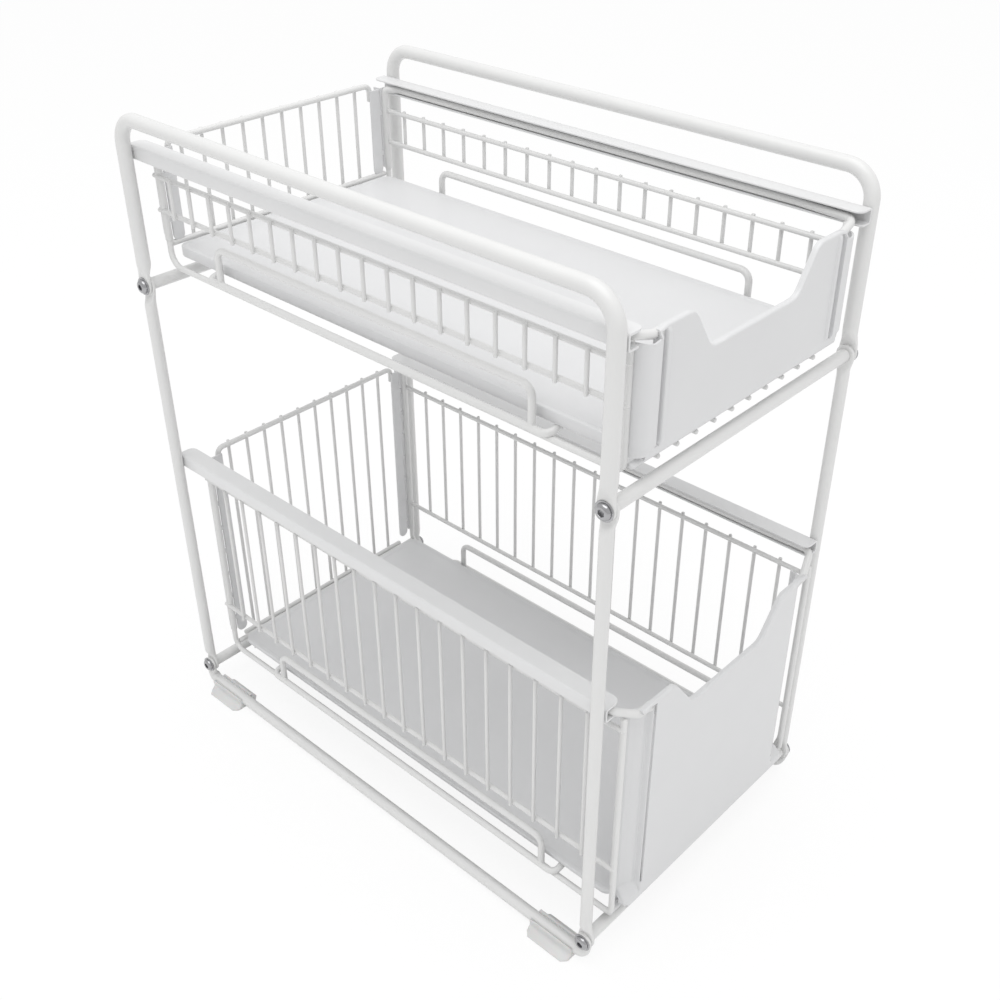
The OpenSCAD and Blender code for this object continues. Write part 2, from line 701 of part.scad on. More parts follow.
front_panel(UPPER);  // upper_front_panel
mirror([1, 0, 0]) front_corner(UPPER);  // upper_front_corner_left
front_corner(UPPER);  // upper_front_corner_right
mirror([1, 0, 0]) rear_corner(UPPER);  // upper_rear_corner_left
rear_corner(UPPER);  // upper_rear_corner_right
lower() mirror([1, 0, 0]) side_panel(LOWER);  // lower_side_left
lower() side_panel(LOWER);  // lower_side_right
lower() mirror([1, 0, 0]) guard(LOWER);  // lower_guard_left
lower() guard(LOWER);  // lower_guard_right
lower() back_panel(LOWER);  // lower_back_panel
lower() floor_grid(LOWER);  // lower_floor_grid
lower() tray(LOWER);  // lower_tray
lower() front_panel(LOWER);  // lower_front_panel
lower() mirror([1, 0, 0]) front_corner(LOWER);  // lower_front_corner_left
lower() front_corner(LOWER);  // lower_front_corner_right
lower() mirror([1, 0, 0]) rear_corner(LOWER);  // lower_rear_corner_left
lower() rear_corner(LOWER);  // lower_rear_corner_right
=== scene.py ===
import json
import math

import bpy
import numpy as np
from bpy.props import FloatProperty, FloatVectorProperty, IntProperty, PointerProperty
from bpy.types import Operator, Panel, PropertyGroup
from mathutils import Matrix


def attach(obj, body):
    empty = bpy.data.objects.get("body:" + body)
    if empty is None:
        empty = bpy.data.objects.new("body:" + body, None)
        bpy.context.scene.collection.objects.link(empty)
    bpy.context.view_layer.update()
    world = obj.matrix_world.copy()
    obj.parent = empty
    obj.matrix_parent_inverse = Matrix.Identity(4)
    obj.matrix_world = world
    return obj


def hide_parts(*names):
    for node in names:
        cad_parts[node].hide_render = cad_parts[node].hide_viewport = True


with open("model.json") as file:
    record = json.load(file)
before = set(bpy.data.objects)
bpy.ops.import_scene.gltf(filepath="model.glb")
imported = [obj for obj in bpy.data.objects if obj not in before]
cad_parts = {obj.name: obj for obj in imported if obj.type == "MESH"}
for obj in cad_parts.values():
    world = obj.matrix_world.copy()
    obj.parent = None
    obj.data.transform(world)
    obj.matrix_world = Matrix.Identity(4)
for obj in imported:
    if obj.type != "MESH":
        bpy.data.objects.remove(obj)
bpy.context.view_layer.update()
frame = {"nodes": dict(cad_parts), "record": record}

bl_info = {
    "name": "Pull-out cabinet basket",
    "version": (1, 0, 0),
    "blender": (4, 5, 0),
    "location": "3D View > Sidebar > Basket",
    "description": "Builds the looks of a pull-out cabinet basket round its CAD frame",
    "category": "Add Mesh",
}

TAU = 2 * math.pi


def size(label, about, mm):
    """A length property, given in millimetres and kept in metres."""
    return FloatProperty(name=label, description=about, default=mm / 1000, min=-1, max=2,
                         unit="LENGTH", precision=4)


def colour(label, about, value):
    """A colour property, linear."""
    return FloatVectorProperty(name=label, description=about, default=value, size=3, min=0, max=1,
                               subtype="COLOR")


class BasketFrameSizes(PropertyGroup):
    frame_w: size("Frame width", "Distance between the left and right posts' axes", 232.6)
    frame_d: size("Frame depth", "Distance between the front and rear posts' axes", 400)
    base_z: size("Base bolts", "Height of the base bolts above the floor", 21)
    mid_z: size("Middle bolts", "Height of the middle bolts above the floor", 356.4)
    top_z: size("Top tube", "Height of the hoops' top tube above the floor", 470.8)
    foot_z: size("Base tube", "Height of the base tubes' axis above the floor", 6.8)
    top_tube: size("Hoop tube", "Diameter of the hoops' tube", 9.5)
    post_tube: size("Post tube", "Diameter of the lower posts' tube", 8)
    bar: size("Bar", "Diameter of the crossbars and base tubes", 8.2)
    top_bend: size("Hoop bend", "Bend radius of the hoops' corners", 18)
    base_bend: size("Base bend", "Bend radius of the base tubes' ends", 6.5)
    flat: size("Flat", "Thickness of a squeezed tube end", 2.6)
    eye: size("Eye", "Width of the eye at a squeezed end", 12)
    flange: size("Bolt flange", "Diameter of the bolts' flange", 12.2)
    head: size("Bolt head", "Diameter of the bolts' head", 10)
    socket: size("Socket", "Width of the bolts' hexagon socket", 4)
    foot_l: size("Foot length", "Length of a foot along its base tube", 36)
    foot_w: size("Foot width", "Width of a foot across its base tube", 24)
    foot_inset: size("Foot inset", "Distance from a post's axis to the middle of its foot", 25)
    rail_h: size("Rail height", "Height of the C-rails", 9.7)
    rail_t: size("Rail sheet", "Sheet thickness of the C-rails", 1.2)
    rail_over: size("Rail overhang", "How far the rails pass the posts' axes", 3.5)
    rail_corner: size("Rail corner", "Radius of the top flange's front and rear corners", 5)
    upper_rail: size("Upper rail", "Height of the upper rails' middle", 446.6)
    lower_rail: size("Lower rail", "Height of the lower rails' middle", 215)


class BasketDrawerSizes(PropertyGroup):
    width: size("Drawer width", "Distance between a drawer's side planes", 198.4)
    rim: size("Rim wire", "Diameter of the rim wires", 4)
    grille: size("Grille wire", "Diameter of the long grille wires", 3.4)
    upright: size("Upright wire", "Diameter of the uprights", 2.6)
    floor_wire: size("Floor wire", "Diameter of the floor grid's wires", 3)
    guard: size("Guard wire", "Diameter of the guards' wire", 4.6)
    guard_l: size("Guard length", "Distance between an arch's legs", 270)
    guard_h: size("Guard height", "Height of an arch above its bar", 24.3)
    guard_tail: size("Guard tail", "How far a guard's bar passes the arch's legs", 12)
    guard_hook: size("Guard hook", "Length of a bar's turned-in ends", 11)
    front: size("Front face", "Distance of the front panels' face from the middle", 202.3)
    back: size("Back rims", "Distance of the rim wires' rear uprights from the middle", 191.5)
    back_step: size("Back step", "How far the back panels' wires stand behind the rims", 3.85)
    front_fold: size("Front fold", "Depth of the front panels' folded top edge", 3.6)
    lip: size("Lip wire", "Thickness of the wire along the rail and under the front fold", 5)
    notch_floor: size("Notch floor", "Width of the hand notch at its floor", 75)
    notch_w: size("Notch width", "Width of the hand notch at its shoulders", 115)
    notch_depth: size("Notch depth", "Depth of the hand notch", 26.3)
    notch_r: size("Notch bend", "Radius of the hand notch's corners", 9)
    face_w: size("Face width", "Width of the front panels between their grooves", 151)
    slit: size("Slit", "Width of the slits beside the lower front's corner strips", 2)
    wing: size("Rear wing", "How far a rear corner's wing runs back", 6.5)
    leaf: size("Rear leaf", "Width of a rear corner's leaf", 11.4)
    pitch: size("Upright pitch", "Distance between the side uprights", 20.45)
    back_pitch: size("Back pitch", "Distance between the back uprights", 16.8)
    sheet: size("Front sheet", "Sheet thickness of the front panels and corner pieces", 1.2)
    tray_sheet: size("Tray sheet", "Sheet thickness of the trays", 0.9)
    back_wires: IntProperty(name="Back uprights", description="Uprights in a back panel",
                            default=10, min=2, max=40)
    side_wires: IntProperty(name="Side uprights", description="Uprights in a side grille",
                            default=18, min=2, max=60)


class BasketFinish(PropertyGroup):
    paint: colour("Frame paint", "Powder coat of the tubes", (0.7, 0.7, 0.695))
    rail: colour("Rail paint", "Powder coat of the rails", (0.7, 0.702, 0.705))
    wire: colour("Wire paint", "Powder coat of the wires", (0.7, 0.7, 0.695))
    panel: colour("Sheet paint", "Powder coat of the sheets", (0.67, 0.672, 0.678))
    plastic: colour("Foot plastic", "Milky plastic of the feet", (0.66, 0.66, 0.655))
    chrome: colour("Chrome", "Plating of the bolts", (0.4, 0.4, 0.41))
    steel: colour("Steel", "Bare steel of the inserts", (0.5, 0.5, 0.5))
    peel: size("Orange peel", "Width of the bumps in the powder coat", 1.1)


class Sizes:
    """Reads the size properties in millimetres."""

    def __getattr__(self, name):
        scene = bpy.context.scene
        group = scene.basket_frame if hasattr(scene.basket_frame, name) else scene.basket_drawer
        value = getattr(group, name)
        return value if isinstance(value, int) else value * 1000


S = Sizes()


# ---------------------------------------------------------------- shapes

class Shape:
    """Closed skins gathered into one mesh, in millimetres. mirror turns x to -x."""

    def __init__(self, mirror=False):
        self.points, self.faces, self.count = [], [], 0
        self.sign = np.array([-1.0, 1.0, 1.0]) if mirror else np.ones(3)

    def put(self, points, faces):
        """Adds a closed skin. Its signed volume, the sum over the faces of p0 . (pi x pi+1) / 6,
        turns it face outwards."""
        points = points * self.sign
        volume = 0.0
        for f in faces:
            p = points[f] - points.mean(0)
            volume += np.einsum("ij,ikj->", p[:, 0], np.cross(p[:, 1:-1], p[:, 2:]))
        self.faces += [(f if volume > 0 else f[:, ::-1]) + self.count for f in faces]
        self.points.append(points)
        self.count += len(points)

    def loft(self, rings):
        """Skins rings (M, K, 3) with quads; the first and last ring are filled."""
        m, k = rings.shape[:2]
        a = np.arange(m * k).reshape(m, k)
        quads = np.stack([a[:-1], np.roll(a[:-1], -1, 1), np.roll(a[1:], -1, 1), a[1:]], -1)
        self.put(rings.reshape(-1, 3), [quads.reshape(-1, 4), a[:1, ::-1], a[-1:]])

    def wire(self, points, d, bend=0.0, sides=14, ends="dome"):
        """A round bar of diameter d along the points, bent at radius bend at each corner."""
        line = rounded(points, bend)
        line, radii = domed(line, d / 2, ends)
        self.loft(tube(line, radii, sides))

    def plate(self, front, back, keep=None):
        """A sheet between two grids (M, N, 3) of the same layout, with walls round its border and
        round the cells that keep leaves out."""
        m, n = front.shape[:2]
        a = np.arange(m * n).reshape(m, n)
        keep = np.ones((m - 1, n - 1), bool) if keep is None else keep
        cells = np.stack([a[:-1, :-1], a[1:, :-1], a[1:, 1:], a[:-1, 1:]], -1)
        pad = np.pad(keep, 1)
        faces = [cells[keep], cells[keep][:, ::-1] + m * n]
        rows, cols = pad[1:-1], pad[:, 1:-1]
        for edge, (p, q) in ((rows[:, 1:] & ~rows[:, :-1], (a[1:], a[:-1])),
                             (rows[:, :-1] & ~rows[:, 1:], (a[:-1], a[1:])),
                             (cols[1:] & ~cols[:-1], (a[:, :-1], a[:, 1:])),
                             (cols[:-1] & ~cols[1:], (a[:, 1:], a[:, :-1]))):
            p, q = p[edge], q[edge]
            faces.append(np.stack([p, q, q + m * n, p + m * n], -1))
        faces = np.concatenate(faces)
        used, faces = np.unique(faces, return_inverse=True)
        points = np.concatenate([front.reshape(-1, 3), back.reshape(-1, 3)])
        self.put(points[used], [faces.reshape(-1, 4)])

    def weld(self, centres, radii):
        """Small ellipsoids at the centres: r = radii * (cos a cos b, cos a sin b, sin a)."""
        sides = 8
        a = np.radians([-89, -45, 0, 45, 89])[:, None]
        b = (np.arange(sides) * TAU / sides)[None, :]
        ball = np.stack(np.broadcast_arrays(np.cos(a) * np.cos(b), np.cos(a) * np.sin(b),
                                            np.sin(a)), -1) * radii
        for c in np.atleast_2d(centres):
            self.loft(ball + c)

    def build(self, name, body, slot, nodes, angle=35):
        """Makes the object, shaded smooth but for edges sharper than angle degrees."""
        mesh = bpy.data.meshes.new(name)
        points = np.concatenate(self.points) / 1000
        totals = np.concatenate([np.full(len(f), f.shape[1]) for f in self.faces])
        mesh.vertices.add(len(points))
        mesh.vertices.foreach_set("co", points.ravel())
        mesh.loops.add(int(totals.sum()))
        mesh.loops.foreach_set("vertex_index",
                               np.concatenate([f.ravel() for f in self.faces]).astype(np.int32))
        mesh.polygons.add(len(totals))
        starts = np.concatenate([[0], np.cumsum(totals)[:-1]]).astype(np.int32)
        mesh.polygons.foreach_set("loop_start", starts)
        mesh.update(calc_edges=True)
        mesh.validate()
        mesh.shade_smooth()
        mesh.set_sharp_from_angle(angle=math.radians(angle))
        mesh.materials.append(finishes()[slot])
        obj = bpy.data.objects.new(name, mesh)
        bpy.context.scene.collection.objects.link(obj)
        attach(obj, body)
        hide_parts(*nodes)


def rounded(points, radius, steps=6):
    """The path through points with an arc of that radius at each corner (one radius or one each).
    Arc: c + r (cos t e1 + sin t e2), for t from 0 to the turn of the path."""
    p = np.asarray(points, float)
    out = [p[0]]
    radii = np.broadcast_to(radius, len(p))
    for i in range(1, len(p) - 1):
        u, v = p[i] - p[i - 1], p[i + 1] - p[i]
        lu, lv = np.linalg.norm(u), np.linalg.norm(v)
        u, v = u / lu, v / lv
        turn = math.acos(max(-1, min(1, float(u @ v))))
        if turn < 0.02 or radii[i] <= 0:
            out.append(p[i])
            continue
        cut = min(radii[i] * math.tan(turn / 2), 0.49 * min(lu, lv))
        r = cut / math.tan(turn / 2)
        side = v - u * (u @ v)
        side /= np.linalg.norm(side)
        start = p[i] - u * cut
        n = max(2, int(math.ceil(steps * turn / 1.5)))
        t = np.linspace(0, turn, n + 1)[:, None]
        out += list(start + r * (np.sin(t) * u + (1 - np.cos(t)) * side))
    out.append(p[-1])
    return np.array(out)


def lengths(line):
    """Distance along a path at each of its points."""
    return np.concatenate([[0], np.cumsum(np.linalg.norm(np.diff(line, axis=0), axis=1))])


def stationed(line, extra):
    """The path with points added at the distances extra from its start, and all distances."""
    s = lengths(line)
    extra = np.asarray(extra, float)
    t = np.unique(np.round(np.concatenate([s, extra[(extra > 0) & (extra < s[-1])]]), 6))
    t = t[np.concatenate([[True], np.diff(t) > 1e-3])]
    t[-1] = s[-1]
    return np.stack([np.interp(t, s, line[:, i]) for i in range(3)], 1), t


def domed(line, r, ends="dome"):
    """Adds the stations of a dome at each end: radius r sqrt(1 - (1 - d/h)^2) at d from the end,
    where h is the dome's height; a flat end gets a small rounding instead."""
    h = 0.55 * r if ends == "dome" else 0.25 * r
    d = h * (1 - np.cos(np.linspace(0.25, math.pi / 2, 4)))
    total = lengths(line)[-1]
    line, t = stationed(line, np.concatenate([d, total - d]))
    near = np.minimum(t, total - t)
    x = np.clip(near / h, 0, 1)
    inner = 0.0 if ends == "dome" else 1 - h / r
    radii = r * (inner + (1 - inner) * np.sqrt(np.clip(1 - (1 - x) ** 2, 0.01, 1)))
    return line, radii


def tangents(line):
    """Unit tangents of a path by central differences."""
    t = np.gradient(line, axis=0)
    return t / np.linalg.norm(t, axis=1)[:, None]


def carried(line, up):
    """Two unit vectors across the path at each point, the first as near to up as it can be:
    n = up - (up . t) t, b = t x n."""
    t = tangents(line)
    n = up - (t @ up)[:, None] * t
    n /= np.linalg.norm(n, axis=1)[:, None]
    return n, np.cross(t, n)


def tube(line, radii, sides=14, up=(0.31, 0.42, 0.853)):
    """Rings c + r (cos a n + sin a b) round a path."""
    n, b = carried(line, np.asarray(up, float))
    a = np.arange(sides) * TAU / sides
    r = np.broadcast_to(radii, len(line))[:, None, None]
    cos, sin = np.cos(a)[None, :, None], np.sin(a)[None, :, None]
    return line[:, None] + r * (cos * n[:, None] + sin * b[:, None])


def smooth(x, a, b):
    """0 before a, 1 after b, and 3u^2 - 2u^3 between them."""
    u = np.clip((x - a) / (b - a), 0, 1)
    return u * u * (3 - 2 * u)


def squeezed_tube(points, bend, d, offset, start, squeeze):
    """A tube whose two ends are squeezed into flat tongues with round eyes. A section is
    (w |cos a|^p, h |sin a|^q) with its signs, w and h going from the tongue's to the tube's
    half sizes over the length squeeze from start, and offset moving the tongue along X."""
    line = rounded(points, bend, 12)
    total = lengths(line)[-1]
    e, flat = S.eye / 2, S.flat
    sides = 32 if d > S.bar else 28
    d0 = np.concatenate([e * (1 - np.cos(np.linspace(0.12, math.pi / 2, 9))),
                         np.linspace(e + 1, start + squeeze + 1, 18)])
    line, t = stationed(line, np.concatenate([d0, total - d0]))
    near = np.minimum(t, total - t)
    r = d / 2
    w = np.where(near < e, np.sqrt(np.clip(e * e - (e - near) ** 2, 0.2, None)), e)
    w = w + (r - w) * smooth(near, e + 1.5, start + 0.75 * squeeze)
    round_ = smooth(near, start, start + squeeze)
    h = flat / 2 + (r - flat / 2) * round_
    p = (0.55 + 0.45 * round_)[:, None]
    q = (0.3 + 0.7 * round_)[:, None]
    a = (np.arange(sides) + 0.5) * TAU / sides
    u = w[:, None] * np.sign(np.cos(a)) * np.abs(np.cos(a)) ** p
    v = h[:, None] * np.sign(np.sin(a)) * np.abs(np.sin(a)) ** q
    n, b = carried(line, np.array([1.0, 0, 0]))
    centre = line + np.outer(offset * (1 - round_), [1, 0, 0])
    return centre[:, None] + v[..., None] * n[:, None] + u[..., None] * b[:, None]


def revolved(profile, x, y, z, sides):
    """Rings about a line along X: (x, y, z) + (h, r cos a, r sin a) for the profile's (h, r),
    where r may be one number or one for each angle."""
    a = np.arange(sides) * TAU / sides
    return np.array([np.stack([np.full(sides, x + h), y + r * np.cos(a), z + r * np.sin(a)], -1)
                     for h, r in profile])


def behind(front, thickness):
    """A grid moved by thickness along its normals, the cross product of its two gradients; its
    first axis runs up and its second along X, so that this is away from the front."""
    n = np.cross(np.gradient(front, axis=1), np.gradient(front, axis=0))
    return front - n / np.linalg.norm(n, axis=-1)[..., None] * thickness


def rounded_box(hx, hy, r, steps=8):
    """A rectangle's outline with rounded corners, as (x, y): corner centre + r (cos a, sin a)."""
    a = np.concatenate([np.linspace(k, k + 1, steps + 1) for k in range(4)]) * math.pi / 2
    quarter = np.repeat(np.arange(4), steps + 1)
    cx = np.array([1, -1, -1, 1])[quarter] * (hx - r)
    cy = np.array([1, 1, -1, -1])[quarter] * (hy - r)
    return np.stack([cx + r * np.cos(a), cy + r * np.sin(a)], -1)


def strip(centre, thickness):
    """The closed section of a sheet whose middle line is centre (..., N, 2): both offsets by half
    the thickness along the normal, and a small round at the free edges."""
    t = np.gradient(centre, axis=-2)
    t /= np.linalg.norm(t, axis=-1)[..., None]
    n = np.stack([-t[..., 1], t[..., 0]], -1) * thickness / 2
    edge = t * thickness * 0.2
    one, two = centre + n, centre - n
    cap_a = centre[..., :1, :] - edge[..., :1, :]
    cap_b = centre[..., -1:, :] + edge[..., -1:, :]
    return np.concatenate([one, cap_b + n[..., -1:, :] * 0.6, cap_b - n[..., -1:, :] * 0.6,
                           two[..., ::-1, :], cap_a - n[..., :1, :] * 0.6,
                           cap_a + n[..., :1, :] * 0.6], -2)


# ---------------------------------------------------------------- materials

class Value:
    """A shader value. + and * add Math nodes to its tree, with numbers or other values."""

    def __init__(self, nodes, socket):
        self.nodes, self.socket = nodes, socket

    def math(self, kind, a, b):
        return self.nodes.add("ShaderNodeMath", 0, {"operation": kind}, {0: a, 1: b})

    def __add__(self, o): return self.math("ADD", self, o)
    def __mul__(self, o): return self.math("MULTIPLY", self, o)
    def __radd__(self, o): return self.math("ADD", o, self)
    def __rmul__(self, o): return self.math("MULTIPLY", o, self)


class Nodes:
    """The node tree of a material or of the world, emptied."""

    def __init__(self, owner):
        owner.use_nodes = True
        self.owner, self.tree = owner, owner.node_tree
        self.tree.nodes.clear()

    def add(self, kind, output=0, settings=(), inputs=()):
        """Adds a node, with its settings first and then a value or a link for each of the inputs,
        which go by name or place. Gives one of its outputs."""
        made = self.tree.nodes.new(kind)
        for key, value in dict(settings).items():
            setattr(made, key, value)
        for key, value in dict(inputs).items():
            if isinstance(value, Value):
                self.tree.links.new(value.socket, made.inputs[key])
            else:
                made.inputs[key].default_value = value
        return Value(self, made.outputs[output]) if made.outputs else None

    def noise(self, scale, detail, roughness=0.5):
        """Noise on object coordinates."""
        place = self.add("ShaderNodeTexCoord", "Object")
        return self.add("ShaderNodeTexNoise", inputs={
            "Vector": place, "Scale": scale, "Detail": detail, "Roughness": roughness})

    def bump(self, height, strength, depth):
        """A bump from the height, as deep as depth in metres."""
        return self.add("ShaderNodeBump", "Normal", inputs={
            "Height": height, "Strength": strength, "Distance": depth})

    def mix(self, factor, colour, dark, light):
        """From the colour times dark to the colour times light."""
        a, b = ((*(min(1.0, x * k) for x in colour), 1) for k in (dark, light))
        return self.add("ShaderNodeMix", 2, {"data_type": "RGBA"}, {0: factor, 6: a, 7: b})

    def finish(self, inputs):
        """Ends the tree in one Principled BSDF and gives the material."""
        skin = self.add("ShaderNodeBsdfPrincipled", inputs=inputs)
        self.add("ShaderNodeOutputMaterial", inputs={"Surface": skin})
        return self.owner


def paint(nodes, base, peel, roughness=0.34):
    """Powder coat: a fine orange peel, slow changes of film thickness, and a light gloss."""
    slow, fine = nodes.noise(28, 3), nodes.noise(1 / peel, 2.5, 0.45)
    return nodes.finish({
        "Base Color": nodes.mix(slow, base, 0.972, 1.02),
        "Coat Weight": 0.12, "Coat Roughness": 0.18,
        "Roughness": roughness - 0.04 + 0.06 * slow + 0.05 * fine,
        "Normal": nodes.bump(fine, 0.16, 0.00006)})


def chrome(nodes, base):
    """Bright plating with faint turning marks and small stains."""
    slow, fine = nodes.noise(220, 3), nodes.noise(2600, 2)
    return nodes.finish({
        "Base Color": nodes.mix(slow, base, 0.86, 1.12), "Metallic": 1.0,
        "Roughness": 0.14 + 0.14 * slow, "Normal": nodes.bump(fine, 0.12, 0.00004)})


def plastic(nodes, base):
    """Milky plastic, lighter where thin, with a satin moulded skin."""
    slow, fine = nodes.noise(60, 2), nodes.noise(1500, 2)
    return nodes.finish({
        "Base Color": nodes.mix(slow, base, 0.95, 1.03), "Coat Weight": 0.05,
        "Subsurface Weight": 0.08, "Subsurface Scale": 0.002,
        "Roughness": 0.36 + 0.1 * slow, "Normal": nodes.bump(fine, 0.1, 0.00005)})


def finishes():
    """The materials by record slot, made once."""
    c = bpy.context.scene.basket_finish
    makers = {
        "frame_paint": lambda n: paint(n, c.paint, c.peel),
        "rail_paint": lambda n: paint(n, c.rail, c.peel),
        "wire_paint": lambda n: paint(n, c.wire, c.peel * 0.8),
        "sheet_paint": lambda n: paint(n, c.panel, c.peel * 1.3, 0.38),
        "bolt_chrome": lambda n: chrome(n, c.chrome),
        "insert_steel": lambda n: chrome(n, c.steel),
        "foot_plastic": lambda n: plastic(n, c.plastic),
    }
    for slot, make in makers.items():
        if "looks_" + slot not in bpy.data.materials:
            make(Nodes(bpy.data.materials.new("looks_" + slot)))
    return {slot: bpy.data.materials["looks_" + slot] for slot in makers}


# ---------------------------------------------------------------- pieces

SIDES = (("left", True), ("right", False))
ENDS = (("front", -1), ("rear", 1))

BITE = 0.15  # how far pieces that touch sink into each other
SINK = 0.4  # how far a welded upright sinks into the wire it crosses
WIRE_OUT = 1.2  # side planes to the grille wires' axes
ARCH_OUT = 2.6  # side planes to the guards' bars' axes
WIRE_DROP = 16.8  # from the rails' middle down to the upper grille wires
RUN_GAP = 0.3  # between the rails' lower flange and the run

# half sizes of the weld beads along X, Y and Z
SIDE_BEAD = (0.7, 1.9, 1.3)
POST_BEAD = (2.1, 2.4, 2.2)
ARCH_BEAD = (2.3, 3.0, 1.6)
BACK_BEAD = (1.8, 0.7, 1.3)

# what differs between the upper and the lower drawer, in millimetres
DRAWERS = {
    "rail": ("upper_rail", "lower_rail"),  # property with the height of the rail's middle
    "rim_drop": (78.5, 178.5),  # from the rail's middle down to the rim
    "end_rise": (3.85, -3.85),  # from the rim up to the front's and back's low wires
    "top_drop": (1.1, 7.4),  # from the rail's middle down to the front's top edge
    "grille_h": (23.3, 119),  # between the grille wires
    "first": (29.8, 24.2),  # from the common front plane to the first side upright
    "y": (0, -5),  # move of the whole drawer
    "guard_y": (0, -8),  # move of the guards within it
    "tray_rise": (13.6, 10),  # from the rim up to the tray's deck
    "tray_flange": (6.4, 2.8),  # depth of the tray's folded sides
    "bar_in": (0, 3.9),  # from the back rims forward to the rear cross wire
    "bar_rise": (14.3, 4.9),  # from the rim up to the rear cross wire
    "proud": (0.9, 5.3),  # how far the face stands before the common front plane
    "hem_rise": (0, 3),  # from the low wire's top up to the front's hem
    "edge_rise": (0.4, 1.2),  # how far the front's edge stands above its level
    "half": (98.2, 91.5),  # half the front's width
    "flange": (87, 88),  # half the width of the folded top edge
    "roll": (7.5, 3),  # radius of the corner strips' roll
    "post": (8, 5.9),  # from the face back to the rim's front uprights
    "bend": ((-2.8, 1.5), (0.8, 6)),  # from the run out, and from the lip wire back
    "notch_grow": (3, 0),  # how far the notch's floor is wider on each side
    "press_rise": (8, 14),  # from the hem up to where the corner strips are pressed in
    "strip_drop": (4.2, 3.8),  # from the edge down to the corner strips' tops
    "droop": (0.8, 1.8),  # how far the strips' tops droop
}


def tiers():
    """Each drawer's name, with its own sizes and the levels that follow from them."""
    for row, name in enumerate(("upper", "lower")):
        t = {key: pair[row] for key, pair in DRAWERS.items()}
        t["lower"] = name == "lower"
        rail = getattr(S, t["rail"])
        t["rim"] = rail - t["rim_drop"]
        t["end"] = t["rim"] + t["end_rise"]
        t["top"] = rail - t["top_drop"]
        t["slide"] = rail - S.rail_h / 2 + S.rail_t + RUN_GAP + S.rim / 2
        t["wires"] = (rail - WIRE_DROP, rail - WIRE_DROP - t["grille_h"])
        t["tray"] = t["rim"] + t["tray_rise"]
        t["grid"] = t["end"] - (S.rim + S.floor_wire) / 2 + BITE
        t["face"] = -S.front - t["proud"]
        yield name, t


def moved(points, t):
    """Points with the drawer's own move along Y added."""
    return np.asarray(points, float) + [0, t["y"], 0]


def make_tubes():
    """Hoops, base tubes and legs: round tubes along a path, each squeezed at its ends into flat
    eyes that lie against each other under the bolts."""
    x, y, e = S.frame_w / 2, S.frame_d / 2, S.eye / 2
    bent = (("hoop_", "top_frame_", S.mid_z - e, S.top_z, S.top_bend, S.top_tube, 6, 10),
            ("base_tube_", "base_frame_", S.base_z + e, S.foot_z, S.base_bend, S.bar, 4.5, 8))
    for side, mirror in SIDES:
        for name, node, tip, level, bend, d, tongue, squeeze in bent:
            s = Shape(mirror)
            path = [(x, -y, tip), (x, -y, level), (x, y, level), (x, y, tip)]
            s.loft(squeezed_tube(path, bend, d, S.flat / 2, e + tongue, squeeze))
            s.build(name + side, "frame", "frame_paint", [node + side])
        for end, sign in ENDS:
            s = Shape(mirror)
            path = [(x, sign * y, S.base_z - e), (x, sign * y, S.mid_z + e)]
            s.loft(squeezed_tube(path, 0, S.post_tube, -S.flat / 2, e + 6, 9))
            s.build("leg_%s_%s" % (end, side), "frame", "frame_paint", ["post_%s_%s" % (end, side)])


def make_crossbars():
    """Straight round bars between the eyes, their ends cut square."""
    x, y = S.frame_w / 2 - S.flat, S.frame_d / 2
    for row, z in (("mid", S.mid_z), ("base", S.base_z)):
        for end, sign in ENDS:
            s = Shape()
            s.wire([(-x, sign * y, z), (x, sign * y, z)], S.bar, sides=28, ends="flat")
            s.build("bar_%s_%s" % (row, end), "frame", "frame_paint",
                    ["%s_crossbar_%s" % (row, end)])


def make_bolts():
    """A profile (height, radius) turned about the bolt's axis: the shank, a flange with broken
    edges, a dome, r = waist + (R - waist) cos t at rise sin t, and a hexagon socket, whose
    radius is half its width / cos(a) between corners."""
    f, h = S.flange / 2, S.head / 2
    long, shank, thick, rise, waist, edge, sides = 19, 2.4, 0.9, 2.4, 2.6, 0.2, 36
    dome = [(thick + rise * math.sin(t), waist + (h - waist) * math.cos(t))
            for t in np.linspace(0, 1.35, 7)]
    body = [(-long, shank - 0.4), (0.4 - long, shank), (-0.02, shank), (0, f - edge), (0.15, f),
            (thick - edge, f), (thick, f - edge), (thick + 0.02, h + 0.15)] + dome
    x, y = S.frame_w / 2 + S.flat, S.frame_d / 2
    for row, z in (("mid", S.mid_z), ("base", S.base_z)):
        s = Shape()
        for sy in (-1, 1):
            for sx in (-1, 1):
                turn = 0.2 * sx + 0.31 * sy
                angle = (np.arange(sides) * TAU / sides + turn) % (TAU / 6) - TAU / 12
                r = S.socket / 2 / np.cos(angle)
                socket = [(3.27, r * 1.06), (3.1, r), (1.5, r * 0.98), (1.2, r * 0.4)]
                rings = revolved(body + socket, x, sy * y, z, sides)
                rings[..., 0] *= sx
                s.loft(rings)
        s.build("bolts_" + row, "frame", "bolt_chrome", [row + "_bolts"], 30)


